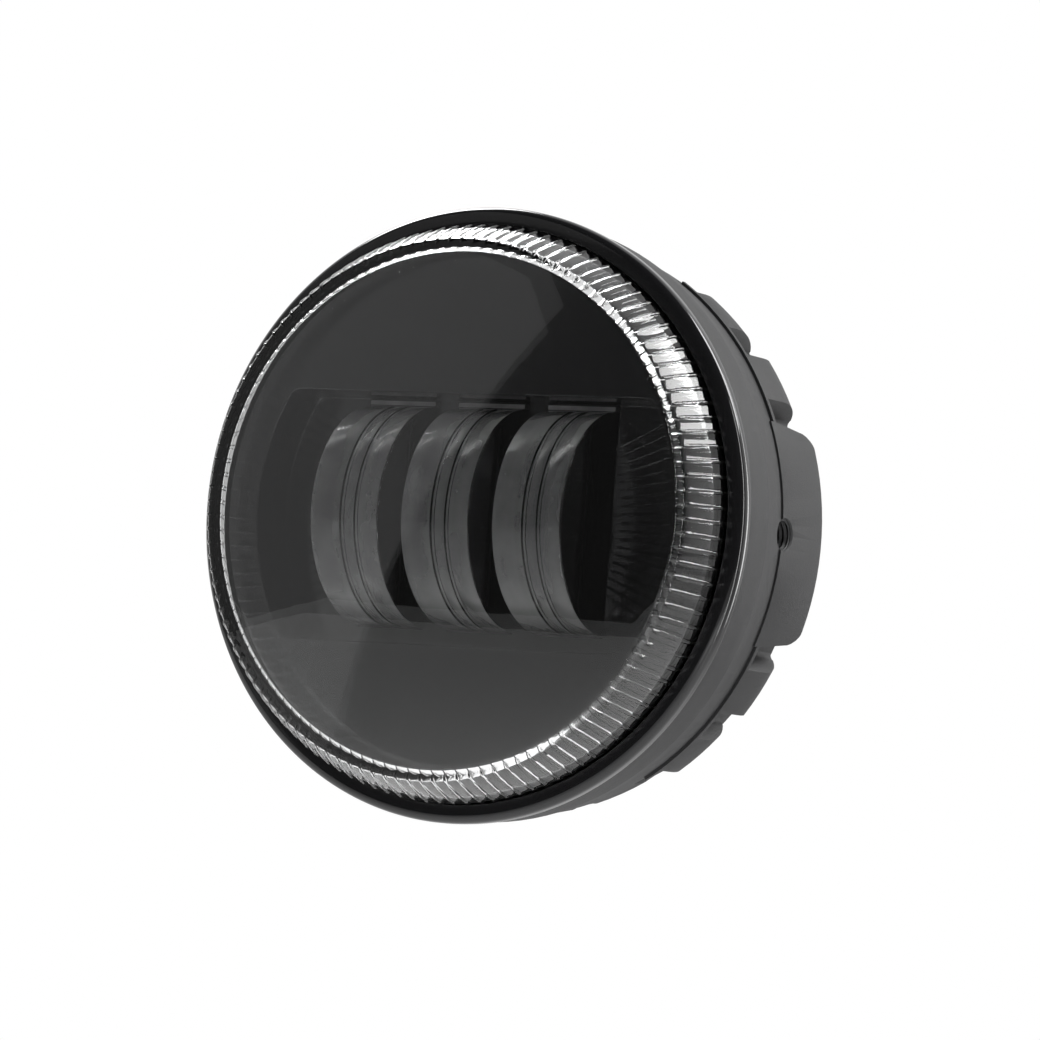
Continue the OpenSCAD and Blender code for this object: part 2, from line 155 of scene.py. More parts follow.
class Shader(Graph):
    """The node tree of one material, with the patterns that the finishes share."""

    def __init__(self, name: str) -> None:
        """Makes an empty material.

        Args:
            name: The material's name.
        """
        self.material = bpy.data.materials.new(name)
        self.material.use_nodes = True
        super().__init__(self.material.node_tree)
        self.tree.nodes.clear()
        self.place = self.add("ShaderNodeTexCoord", output="Object")

    def stretched(self, scale: Point) -> Val:
        """Returns object coordinates scaled differently along each axis."""
        return self.add("ShaderNodeMapping", inputs={"Vector": self.place, "Scale": scale})

    def noise(self, size: float, detail: float = 3.0, roughness: float = 0.55,
              place: Val | None = None) -> Val:
        """Returns cloudy noise from 0 to 1.

        Args:
            size: Size of one patch, in metres.
            detail: Number of finer layers.
            roughness: Weight of the finer layers.
            place: Coordinates, if not the object's own.

        Returns:
            The noise value.
        """
        return self.add("ShaderNodeTexNoise", None, {
            "Vector": place or self.place, "Scale": 1 / size, "Detail": detail,
            "Roughness": roughness})

    def cells(self, size: float) -> Val:
        """Returns the distance to the nearest of many scattered points, in cell widths."""
        return self.add("ShaderNodeTexVoronoi", None, {"Vector": self.place, "Scale": 1 / size})

    def blend(self, factor: Val, under: Colour | Val, over: Colour) -> Val:
        """Lays a colour over a fixed or linked colour by a mask."""
        first = under if isinstance(under, Val) else (*under, 1)
        return self.add("ShaderNodeMix", {"data_type": "RGBA"}, {
            "Factor": factor, 6: first, 7: (*over, 1)}, 2)

    def bump(self, height: Val, depth: float, normal: Val | None = None) -> Val:
        """Turns a height from 0 to 1 into a normal.

        Args:
            height: The height pattern.
            depth: What a height of 1 stands for, in metres.
            normal: A normal that this bump adds to.

        Returns:
            The bumped normal.
        """
        inputs = {"Height": height, "Distance": depth, "Strength": 1.0}
        if normal:
            inputs["Normal"] = normal
        return self.add("ShaderNodeBump", None, inputs)

    def edges(self) -> Val:
        """Returns a mask of the mesh's outward corners."""
        return self.add("ShaderNodeNewGeometry", output="Pointiness").between(0.56, 0.68)

    def finish(self, inputs: dict) -> bpy.types.Material:
        """Closes the tree with a Principled shader.

        Args:
            inputs: The shader's values and links.

        Returns:
            The finished material.
        """
        surface = self.add("ShaderNodeBsdfPrincipled", None, inputs, "BSDF")
        self.node("ShaderNodeOutputMaterial", None, {"Surface": surface})
        return self.material


# ------------------------------------------------------------------ finishes


@dataclass(frozen=True)
class Finish:
    """A moulded, cast or turned surface with drift in tone, a grain and dulled patches."""

    name: str
    tone: Colour
    drift: Colour
    roughness: float = 0.5
    spread: float = 0.12
    metallic: float = 0.0
    patch: float = 12 * MM
    grain: float = 0.4 * MM
    depth: float = 0.01 * MM
    worn: Colour | None = None

    def build(self) -> bpy.types.Material:
        """Returns the finish as a material."""
        shader = Shader(self.name)
        cloud = shader.noise(self.patch, 5)
        colour = shader.blend(cloud.between(0.3, 0.75), self.tone, self.drift)
        if self.worn:
            scuffed = shader.edges() * shader.noise(1.5 * MM, 4).between(0.35, 0.7)
            colour = shader.blend(scuffed * 0.5, colour, self.worn)
        dulled = shader.noise(self.patch * 0.35, 6, 0.7)
        return shader.finish({
            "Base Color": colour,
            "Metallic": self.metallic,
            "Roughness": (dulled - 0.5) * self.spread * 2 + self.roughness,
            "Normal": shader.bump(shader.noise(self.grain, 4, 0.6), self.depth),
        })


@dataclass(frozen=True)
class CastFinish(Finish):
    """Powder-coated casting: a fine sand texture over a slightly uneven skin."""

    def build(self) -> bpy.types.Material:
        """Returns the finish as a material."""
        shader = Shader(self.name)
        grit = shader.noise(self.grain, 2, 0.6)
        pits = shader.cells(self.grain * 1.6)
        cloud = shader.noise(self.patch, 4)
        colour = shader.blend(grit.between(0.3, 0.75), self.tone, self.drift)
        skin = shader.bump(cloud, 0.05 * MM)
        return shader.finish({
            "Base Color": colour,
            "Roughness": cloud * self.spread + (self.roughness - self.spread / 2),
            "Normal": shader.bump(grit * 0.6 + pits * 0.4, self.depth, skin),
        })


@dataclass(frozen=True)
class GlossFinish(Finish):
    """Gloss black moulding: a faint orange peel and a light film of dust."""

    coat: float = 0.4

    def build(self) -> bpy.types.Material:
        """Returns the finish as a material."""
        shader = Shader(self.name)
        dust = shader.noise(0.25 * MM, 3, 0.7).between(0.66, 0.82)
        film = shader.noise(self.patch, 4)
        colour = shader.blend(dust * 0.05, shader.blend(film, self.tone, self.drift),
                              (0.35, 0.35, 0.36))
        peel = shader.noise(2.2 * MM, 2)
        return shader.finish({
            "Base Color": colour,
            "Roughness": film * self.spread + dust * 0.1 + self.roughness,
            "Coat Weight": self.coat,
            "Coat Roughness": 0.03,
            "Normal": shader.bump(peel, self.depth),
        })


@dataclass(frozen=True)
class ClearFinish(Finish):
    """Clear optical plastic with a slight waviness from the mould and rare dulled specks."""

    index: float = 1.58
    clear: float = 1.0

    def build(self) -> bpy.types.Material:
        """Returns the finish as a material."""
        shader = Shader(self.name)
        film = shader.noise(self.patch, 3)
        specks = shader.noise(0.3 * MM, 2, 0.6).between(0.74, 0.86)
        return shader.finish({
            "Base Color": shader.blend(film, self.tone, self.drift),
            "Roughness": film * self.spread + specks * 0.15 + self.roughness,
            "IOR": self.index,
            "Transmission Weight": self.clear,
            "Normal": shader.bump(shader.noise(self.grain, 2), self.depth),
        })


@dataclass(frozen=True)
class BarFaceFinish(ClearFinish):
    """The bars' curved front: clear plastic with a milky, streaked core showing through, and a
    painted highlight that pales the top and bottom ends.
    """

    streak: float = 1.1 * MM

    def build(self) -> bpy.types.Material:
        """Returns the finish as a material."""
        shader = Shader(self.name)
        fine = shader.stretched((1, 0.03, 0.03))
        lines = shader.noise(self.streak, 2, 0.5, fine)
        bands = shader.noise(4 * self.streak, 1, 0.5, fine)
        cloud = shader.noise(self.patch, 4)
        height = shader.add("ShaderNodeSeparateXYZ", None, {0: shader.place}, "Z")
        # Painted highlight: the top and bottom ends of each bar are paled towards white, standing
        # in for the bright crescents and hot spots that the lights make there.
        ends = (height * height).between((9 * MM) ** 2, (20 * MM) ** 2)
        pale = (lines * 0.2 + bands.between(0.35, 0.65) * 0.3 + cloud.between(0.3, 0.7) * 0.3
                + ends * 0.5)
        return shader.finish({
            "Base Color": shader.blend(pale, self.tone, self.drift),
            "Roughness": lines * self.spread + self.roughness,
            "IOR": self.index,
            "Transmission Weight": self.clear,
            "Normal": shader.bump(lines, self.depth),
        })


@dataclass(frozen=True)
class BoardFinish(Finish):
    """Circuit board under a solder mask, with faint raised copper runs."""

    track: float = 1.6 * MM

    def build(self) -> bpy.types.Material:
        """Returns the finish as a material."""
        shader = Shader(self.name)
        runs = shader.add("ShaderNodeTexBrick", {"offset": 0.5}, {
            "Vector": shader.place, "Scale": 1 / (self.track * 8), "Mortar Size": 0.06,
            "Color1": (0, 0, 0, 1), "Color2": (0, 0, 0, 1), "Mortar": (1, 1, 1, 1)}, "Fac")
        cloud = shader.noise(self.patch, 4)
        colour = shader.blend(runs * 0.5, shader.blend(cloud, self.tone, self.drift),
                              tuple(min(1.0, c * 1.5 + 0.02) for c in self.drift))
        return shader.finish({
            "Base Color": colour,
            "Roughness": cloud * self.spread + self.roughness,
            "Normal": shader.bump(runs, self.depth),
        })


@dataclass(frozen=True)
class WovenFinish(Finish):
    """Fine woven membrane."""

    def build(self) -> bpy.types.Material:
        """Returns the finish as a material."""
        shader = Shader(self.name)
        warp = shader.add("ShaderNodeTexWave", {"bands_direction": "X"},
                          {"Vector": shader.place, "Scale": 1 / (self.grain * 3)}, 1)
        weft = shader.add("ShaderNodeTexWave", {"bands_direction": "Z"},
                          {"Vector": shader.place, "Scale": 1 / (self.grain * 3)}, 1)
        weave = warp * weft
        return shader.finish({
            "Base Color": shader.blend(weave, self.tone, self.drift),
            "Roughness": shader.noise(self.patch) * self.spread + self.roughness,
            "Normal": shader.bump(weave, self.depth),
        })


def finishes() -> dict[str, Finish]:
    """Returns the lamp's finishes by material slot."""
    black = dict(tone=(0.012, 0.012, 0.013), drift=(0.018, 0.018, 0.019))
    rows = [
        ClearFinish("clear_lens", (1, 1, 1), (0.97, 0.98, 0.98), 0.0, 0.012, patch=25 * MM,
                    grain=9 * MM, depth=0.006 * MM),
        Finish("sealant", (0.05, 0.05, 0.052), (0.09, 0.09, 0.09), 0.6, depth=0.03 * MM),
        GlossFinish("gloss_black", (0.008, 0.008, 0.009), (0.012, 0.012, 0.013), 0.07, 0.06,
                    patch=20 * MM, depth=0.002 * MM),
        GlossFinish("mask_black", (0.010, 0.010, 0.011), (0.014, 0.014, 0.015), 0.12, 0.07,
                    patch=25 * MM, depth=0.003 * MM),
        ClearFinish("bar_optic", (0.97, 0.97, 0.98), (0.90, 0.90, 0.91), 0.01, 0.03,
                    patch=6 * MM, grain=3.5 * MM, depth=0.02 * MM, index=1.49),
        Finish("black_plastic", **black, roughness=0.45, depth=0.02 * MM),
        Finish("screw_steel", (0.55, 0.55, 0.56), (0.42, 0.42, 0.43), 0.28, metallic=1.0,
               patch=3 * MM, depth=0.004 * MM),
        Finish("screw_black", (0.03, 0.03, 0.032), (0.05, 0.05, 0.05), 0.38, metallic=0.7,
               patch=3 * MM, depth=0.01 * MM, worn=(0.35, 0.35, 0.36)),
        BoardFinish("white_mask_board", (0.80, 0.80, 0.78), (0.74, 0.74, 0.72), 0.35, 0.1),
        Finish("led_ceramic", (0.75, 0.72, 0.60), (0.68, 0.66, 0.55), 0.5, patch=1 * MM),
        ClearFinish("led_silicone", (0.95, 0.85, 0.45), (0.90, 0.80, 0.40), 0.08, 0.05,
                    patch=1 * MM, index=1.41),
        Finish("gap_pad", (0.30, 0.42, 0.52), (0.26, 0.38, 0.48), 0.8, depth=0.05 * MM),
        CastFinish("housing_black", (0.013, 0.013, 0.014), (0.023, 0.023, 0.024), 0.58, 0.06,
                   patch=18 * MM, grain=0.22 * MM, depth=0.05 * MM),
        Finish("black_rubber", (0.016, 0.016, 0.016), (0.026, 0.026, 0.026), 0.72,
               depth=0.03 * MM),
        Finish("wire_red", (0.42, 0.02, 0.015), (0.34, 0.015, 0.012), 0.4),
        BoardFinish("green_board", (0.015, 0.13, 0.05), (0.012, 0.10, 0.04), 0.3, 0.15),
        Finish("standoff_brass", (0.72, 0.52, 0.24), (0.62, 0.43, 0.18), 0.3, metallic=1.0),
        Finish("ferrite", (0.06, 0.06, 0.065), (0.09, 0.09, 0.095), 0.6, depth=0.04 * MM),
        Finish("copper_wire", (0.65, 0.28, 0.12), (0.55, 0.22, 0.09), 0.3, metallic=1.0),
        Finish("capacitor_can", (0.62, 0.63, 0.65), (0.52, 0.53, 0.55), 0.32, metallic=1.0),
        Finish("chip_black", **black, roughness=0.55, patch=2 * MM, depth=0.01 * MM),
        Finish("terminal_white", (0.72, 0.72, 0.70), (0.66, 0.66, 0.64), 0.45),
        WovenFinish("vent_cloth", (0.55, 0.55, 0.54), (0.82, 0.82, 0.80), 0.8,
                    grain=0.12 * MM, depth=0.02 * MM),
        Finish("gland_nylon", (0.028, 0.028, 0.029), (0.045, 0.045, 0.046), 0.48,
               patch=8 * MM, grain=0.25 * MM, depth=0.02 * MM, worn=(0.14, 0.14, 0.14)),
    ]
    return {row.name: row for row in rows}


class Wardrobe:
    """Builds each finish once, and dresses pieces and CAD nodes in them."""

    def __init__(self, record: dict) -> None:
        """Reads which node wears which slot.

        Args:
            record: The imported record.
        """
        self.made = {name: finish.build() for name, finish in finishes().items()}
        self.slots = {row["node"]: row["material_slot"] for row in record["subparts"]}
        self.face = BarFaceFinish("bar_face", (0.48, 0.48, 0.49), (1.0, 1.0, 1.0), 0.03, 0.10,
                                  patch=7 * MM, depth=0.02 * MM, index=1.49, clear=0.7).build()

    def dress(self, piece: bpy.types.Object, slot: str) -> None:
        """Gives every slot of a piece one finish."""
        if not piece.material_slots:
            piece.data.materials.append(self.made[slot])
        for holder in piece.material_slots:
            holder.material = self.made[slot]


# ------------------------------------------------------------------ mesh making


@dataclass(frozen=True)
class Axis:
    """The lamp's axis. Depths run back from the lens's front edge, all in millimetres."""

    edge_y: float

    def at(self, radius: float, depth: float, angle: float) -> Point:
        """Returns the point at a radius, a depth and an angle from +X towards +Z."""
        return (radius * MM * math.cos(angle), self.edge_y + depth * MM,
                radius * MM * math.sin(angle))

    def flat(self, x: float, depth: float, z: float) -> Point:
        """Returns the point at a place across, a depth and a height."""
        return (x * MM, self.edge_y + depth * MM, z * MM)


def rounded(corners: Sequence[tuple[float, float, float]], steps: int = 4
            ) -> list[tuple[float, float]]:
    """Rounds the corners of an open outline.

    Args:
        corners: Corners as (a, b, radius of rounding).
        steps: Pieces in each round.

    Returns:
        The outline's points.
    """
    out: list[tuple[float, float]] = []
    for i, (a, b, r) in enumerate(corners):
        here = Vector((a, b))
        if r <= 0 or i in (0, len(corners) - 1):
            out.append((a, b))
            continue
        before = Vector(corners[i - 1][:2]) - here
        after = Vector(corners[i + 1][:2]) - here
        start = here + before.normalized() * min(r, before.length * 0.49)
        end = here + after.normalized() * min(r, after.length * 0.49)
        for k in range(steps + 1):
            t = k / steps
            out.append(tuple(start * (1 - t) ** 2 + here * (2 * t * (1 - t)) + end * t * t))
    return out


def circle_angles(count: int) -> list[float]:
    """Returns evenly spaced angles round a full turn."""
    return [2 * math.pi * i / count for i in range(count)]


def skin(verts: list, faces: list, rows: Sequence[Sequence[Point]],
         along: bool = False) -> None:
    """Adds a skin of quads between closed rows of points. A row of one point is a pole.

    Args:
        verts: Vertex list that grows.
        faces: Face list that grows.
        rows: The rows of points.
        along: Whether the last row joins the first.
    """
    index = []
    for row in rows:
        index.append(range(len(verts), len(verts) + len(row)))
        verts.extend(row)
    pairs = list(zip(index, index[1:])) + ([(index[-1], index[0])] if along else [])
    for a, b in pairs:
        n = max(len(a), len(b))
        for j in range(n):
            k = (j + 1) % n
            loop = [a[j] if len(a) > 1 else a[0], a[k] if len(a) > 1 else a[0],
                    b[k] if len(b) > 1 else b[0], b[j] if len(b) > 1 else b[0]]
            faces.append(list(dict.fromkeys(loop)))


def make(name: str, verts: Sequence[Point], faces: Sequence[Sequence[int]],
         merge: float = 0.0) -> bpy.types.Object:
    """Makes a closed mesh object with outward faces.

    Args:
        name: The piece's name.
        verts: Its points.
        faces: Its faces.
        merge: Distance under which points are merged, in metres.

    Returns:
        The object, in the scene.
    """
    mesh = bpy.data.meshes.new(name)
    mesh.from_pydata([tuple(v) for v in verts], [], [list(f) for f in faces])
    piece = bpy.data.objects.new(name, mesh)
    bpy.context.scene.collection.objects.link(piece)
    tidy(piece, merge)
    return piece


def tidy(piece: bpy.types.Object, merge: float = 0.0) -> None:
    """Merges close points and turns the faces outwards."""
    work = bmesh.new()
    work.from_mesh(piece.data)
    if merge:
        bmesh.ops.remove_doubles(work, verts=work.verts, dist=merge)
    bmesh.ops.recalc_face_normals(work, faces=work.faces)
    work.to_mesh(piece.data)
    work.free()


def smooth(piece: bpy.types.Object, degrees: float) -> None:
    """Shades a piece smooth, with sharp edges where faces meet at more than an angle."""
    work = bmesh.new()
    work.from_mesh(piece.data)
    limit = math.radians(degrees)
    for face in work.faces:
        face.smooth = True
    for edge in work.edges:
        edge.smooth = len(edge.link_faces) == 2 and edge.calc_face_angle(0) < limit
    work.to_mesh(piece.data)
    work.free()


def baked(piece: bpy.types.Object) -> None:
    """Turns a piece's modifiers into its plain mesh."""
    bpy.context.view_layer.update()
    graph = bpy.context.evaluated_depsgraph_get()
    mesh = bpy.data.meshes.new_from_object(piece.evaluated_get(graph))
    piece.modifiers.clear()
    old = piece.data
    piece.data = mesh
    bpy.data.meshes.remove(old)


def cut(piece: bpy.types.Object, cutter: bpy.types.Object, touching: bool = False) -> None:
    """Cuts one closed piece out of another, and removes the cutter.

    Args:
        piece: The piece that is cut.
        cutter: The solid that is taken away.
        touching: Whether faces of the piece may touch each other.
    """
    knife = piece.modifiers.new("cut", "BOOLEAN")
    knife.operation = "DIFFERENCE"
    knife.solver = "EXACT"
    knife.use_self = touching
    knife.object = cutter
    baked(piece)
    bpy.data.objects.remove(cutter)


def merged_copy(node: str, name: str, joined: bool = False) -> bpy.types.Object:
    """Returns a copy of a CAD node with its points merged.

    Args:
        node: The CAD node.
        name: The copy's name.
        joined: Whether its flat faces are joined too.

    Returns:
        The copy.
    """
    piece = bpy.data.objects.new(name, frame["nodes"][node].data.copy())
    bpy.context.scene.collection.objects.link(piece)
    piece.data.materials.clear()
    work = bmesh.new()
    work.from_mesh(piece.data)
    bmesh.ops.remove_doubles(work, verts=work.verts, dist=0.002 * MM)
    if joined:
        bmesh.ops.dissolve_limit(work, angle_limit=math.radians(0.4), verts=work.verts,
                                 edges=work.edges)
    work.to_mesh(piece.data)
    work.free()
    normals = piece.data.attributes.get("custom_normal")
    if normals:
        piece.data.attributes.remove(normals)
    return piece


def soften(piece: bpy.types.Object, width: float) -> None:
    """Rounds a piece's sharp edges.

    Args:
        piece: The piece.
        width: Width of the round, in millimetres.
    """
    bevel = piece.modifiers.new("soft_edges", "BEVEL")
    bevel.width = width * MM
    bevel.segments = 3
    bevel.limit_method = "ANGLE"
    bevel.angle_limit = math.radians(30)
    baked(piece)


def lathe(name: str, axis: Axis, outline: Sequence[tuple[float, float]],
          count: int) -> bpy.types.Object:
    """Turns a closed outline of (radius, depth) points round the lamp's axis.

    Args:
        name: The piece's name.
        axis: The lamp's axis.
        outline: The outline; its last point joins its first.
        count: Divisions round the axis.

    Returns:
        The turned piece.
    """
    verts: list = []
    faces: list = []
    rows = [[axis.at(r, s, a) for a in circle_angles(count)] for r, s in outline]
    skin(verts, faces, rows, along=True)
    return make(name, verts, faces)


def block(verts: list, faces: list, low: Point, high: Point, edge: float) -> None:
    """Adds a box with chamfered edges.

    Args:
        verts: Vertex list that grows.
        faces: Face list that grows.
        low: Lowest corner, in metres.
        high: Highest corner, in metres.
        edge: Width of the chamfer, in metres.
    """
    work = bmesh.new()
    bmesh.ops.create_cube(work, size=1)
    for v in work.verts:
        v.co = [low[i] + (v.co[i] + 0.5) * (high[i] - low[i]) for i in range(3)]
    bmesh.ops.bevel(work, geom=list(work.edges), offset=edge, segments=2, profile=0.7,
                    affect="EDGES")
    base = len(verts)
    work.verts.ensure_lookup_table()
    verts.extend(tuple(v.co) for v in work.verts)
    faces.extend([base + v.index for v in f.verts] for f in work.faces)
    work.free()


class RadialArray:
    """A Geometry Nodes tree that repeats a small mesh round the lamp's axis."""

    def __init__(self) -> None:
        """Builds the tree once, with named inputs."""
        tree = bpy.data.node_groups.new("radial_array", "GeometryNodeTree")
        face = tree.interface
        face.new_socket("Geometry", in_out="INPUT", socket_type="NodeSocketGeometry")
        self.keys = {
            name: face.new_socket(name, in_out="INPUT", socket_type=kind).identifier
            for name, kind in (("Count", "NodeSocketInt"), ("Start", "NodeSocketFloat"),
                               ("Step", "NodeSocketFloat"), ("Merge", "NodeSocketFloat"),
                               ("Finish", "NodeSocketMaterial"))}
        face.new_socket("Geometry", in_out="OUTPUT", socket_type="NodeSocketGeometry")
        graph = Graph(tree)
        source = graph.node("NodeGroupInput")
        given = {s.name: Val(graph, s) for s in source.outputs if s.name}
        angle = graph.add("GeometryNodeInputIndex") * given["Step"] + given["Start"]
        turn = graph.add("ShaderNodeCombineXYZ", None, {"Y": 0 - angle})
        points = graph.add("GeometryNodePoints", None, {"Count": given["Count"]})
        copies = graph.add("GeometryNodeInstanceOnPoints", None, {
            "Points": points, "Instance": given["Geometry"], "Rotation": turn})
        real = graph.add("GeometryNodeRealizeInstances", None, {"Geometry": copies})
        joined = graph.add("GeometryNodeMergeByDistance", None, {
            "Geometry": real, "Distance": given["Merge"]})
        dressed = graph.add("GeometryNodeSetMaterial", None, {
            "Geometry": joined, "Material": given["Finish"]})
        graph.node("NodeGroupOutput", None, {0: dressed})
        self.tree = tree

    def apply(self, piece: bpy.types.Object, count: int, start: float, step: float,
              finish: bpy.types.Material, merge: float = 0.0) -> None:
        """Repeats a piece round the axis and makes the result its plain mesh.

        Args:
            piece: The small mesh.
            count: Number of copies.
            start: Angle of the first copy from +X towards +Z.
            step: Angle between copies.
            finish: The material they wear.
            merge: Distance under which neighbouring points are merged, in metres.
        """
        maker = piece.modifiers.new("radial_array", "NODES")
        maker.node_group = self.tree
        values = {"Count": count, "Start": start, "Step": step, "Merge": merge,
                  "Finish": finish}
        for name, value in values.items():
            maker[self.keys[name]] = value
        baked(piece)


# ------------------------------------------------------------------ the lamp's pieces


@dataclass
class Workshop:
    """What every sub-assembly shares: the axis, the finishes and the repeating tree."""

    axis: Axis
    wardrobe: Wardrobe
    array: RadialArray

    def deliver(self, piece: bpy.types.Object, slot: str, *nodes: str,
                degrees: float) -> None:
        """Shades and dresses a piece, attaches it to the body, hides the CAD nodes it stands for
        and logs it.

        Args:
            piece: The finished mesh object.
            slot: The material slot it wears.
            *nodes: The CAD nodes that it stands for.
            degrees: Angle over which an edge stays sharp.
        """
        smooth(piece, degrees)
        self.wardrobe.dress(piece, slot)
        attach(piece, BODY)
        if nodes:
            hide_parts(*nodes)
        log.info("%s: %d faces, %s", piece.name, len(piece.data.polygons), slot)


@dataclass
class OuterLens:
    """Clear lens moulding: a shallow dome, then a flared edge with narrow ribs."""

    shop: Workshop
    front_r: float = 49.7
    edge_r: float = 53.5
    edge_len: float = 8.3
    dome: float = 6.0
    wall: float = 2.5
    foot: float = 15.1
    ribs: int = 120
    rib_w: float = 0.92
    rib_h: float = 0.28
    rib_lead: float = 2.2
    rib_tail: float = 0.5
    bulge: float = 0.25
    rib_back: float = 9.2
    tip_r: float = 48.9

    def outer(self) -> list[tuple[float, float]]:
        """Returns the outer surface's outline, from the axis back to the foot."""
        radii = [0, 3, 7, 11, 15, 19, 23, 27, 31, 35, 38, 41, 43.5, 45.5, 47, 48.2, 48.9, 49.2]
        dome = [(r, -self.dome * (1 - (r / self.front_r) ** 2)) for r in radii]
        turns = [6, 12, 18, 25, 32, 40, 48, 56, 64, 72, 80, 86, 90]
        edge = [self.flare(math.radians(t), self.front_r, self.edge_r, 0, self.edge_len)
                for t in turns]
        return dome + edge + [(self.edge_r, 8.7), (self.edge_r, 9.0), (self.edge_r, 9.3),
                              (self.edge_r, self.foot)]

    def flare(self, turn: float, r1: float, r2: float, start: float, length: float
              ) -> tuple[float, float]:
        """Returns a point of the flared edge: mostly a cone, a quarter of it rounded."""
        back = 1 - math.cos(turn)
        out = (1 - self.bulge) * back + self.bulge * math.sin(turn)
        return (r1 + (r2 - r1) * out, start + length * back)

    def inner(self) -> list[tuple[float, float]]:
        """Returns the inner surface's outline, from the foot forward to the axis."""
        front = self.front_r - self.wall
        back = self.edge_r - self.wall
        edge = [self.flare(math.radians(t), front, back, self.wall, self.edge_len - 2)
                for t in (90, 80, 70, 60, 50, 40, 30, 20, 10)]
        radii = [47, 45, 42, 38, 34, 30, 26, 22, 18, 14, 10, 6, 3, 0]
        dome = [(r, self.wall - self.dome * (1 - (r / front) ** 2)) for r in radii]
        return [(back, self.foot)] + edge + dome

    def rib(self, travel: float, length: float) -> tuple[float, float]:
        """Returns a rib's half width and height at a distance along it from its tip."""
        lead = min(1.0, max(0.0, travel / self.rib_lead))
        tail = min(1.0, max(0.0, (length - travel) / self.rib_tail))
        return (self.rib_w / 2 * (0.25 + 0.75 * lead), self.rib_h * min(lead ** 0.6, tail))

    def build(self) -> None:
        """Builds one sector and repeats it round the axis."""
        half = math.pi / self.ribs
        outline = self.outer()
        start = next(i for i, (r, _) in enumerate(outline) if r >= self.tip_r)
        stop = next(i for i, (_, s) in enumerate(outline) if s >= self.rib_back)
        runs = [0.0]
        for a, b in zip(outline[start:stop], outline[start + 1:]):
            runs.append(runs[-1] + math.dist(a, b))
        at = self.shop.axis.at
        verts: list = []
        faces: list = []
        rows: list[list[int]] = []

        def row(points: Sequence[Point]) -> None:
            """Adds one row of points across the sector."""
            rows.append(list(range(len(verts), len(verts) + len(points))))
            verts.extend(points)

        for i, (r, s) in enumerate(outline):
            if r == 0:
                row([at(0, s, 0)])
            elif start <= i <= stop:
                wide, high = self.rib(runs[i - start], runs[-1])
                dr = outline[i + 1][0] - outline[i - 1][0]
                ds = outline[i + 1][1] - outline[i - 1][1]
                size = math.hypot(dr, ds)
                points = []
                for share, lift in ((-1.25, 0), (-1, 0.08), (-0.55, 0.8), (0, 1),
                                    (0.55, 0.8), (1, 0.08), (1.25, 0)):
                    points.append(at(r + lift * high * ds / size, s - lift * high * dr / size,
                                     share * wide / r))
                row([at(r, s, -half)] + points + [at(r, s, half)])
            else:
                row([at(r, s, a) for a in (-half, 0, half)])
        for r, s in self.inner():
            row([at(r, s, 0)] if r == 0 else [at(r, s, a) for a in (-half, 0, half)])
        for a, b in zip(rows, rows[1:]):
            if len(a) == len(b):
                faces.extend([a[j], a[j + 1], b[j + 1], b[j]] for j in range(len(a) - 1))
            elif len(a) < 3:
                faces.extend([a[0], b[j + 1], b[j]] for j in range(len(b) - 1))
            elif len(b) < 3:
                faces.extend([a[j], a[j + 1], b[0]] for j in range(len(a) - 1))
            else:
                few, many = (a, b) if len(a) < len(b) else (b, a)
                mid = len(many) // 2
                for side in (0, 1):
                    span = many[:mid + 1] if side == 0 else many[mid:]
                    loop = [few[side], few[side + 1]] + span[::-1]
                    faces.append(loop)
        piece = make("clear_lens_cover", verts, faces)
        self.shop.array.apply(piece, self.ribs, 0.0, 2 * half,
                              self.shop.wardrobe.made["clear_lens"], 0.004 * MM)
        tidy(piece)
        self.shop.deliver(piece, "clear_lens", "outer_lens", degrees=32)


@dataclass
class RimRing:
    """Gloss black ring round the lens: a flat face, a rounded bright edge, a shadow gap."""

    shop: Workshop
    inner_r: float = 53.7
    outer_r: float = 57.15
    front: float = 10.1
    back: float = 12.9
    foot: float = 13.4

    def build(self) -> None:
        """Builds the ring."""
        r, s = self.outer_r, self.front
        outline = rounded([
            (self.inner_r, s + 0.6, 0), (self.inner_r, s, 0.35), (r - 1.1, s, 0.5),
            (r, s + 0.75, 0.7), (r, self.back, 0.35), (r - 1.5, self.back, 0.1),
            (r - 1.5, self.foot, 0), (self.inner_r, self.foot, 0)], 5)
        piece = lathe("rim_ring_gloss", self.shop.axis, outline, 288)
        self.shop.deliver(piece, "gloss_black", "rim_ring", degrees=50)


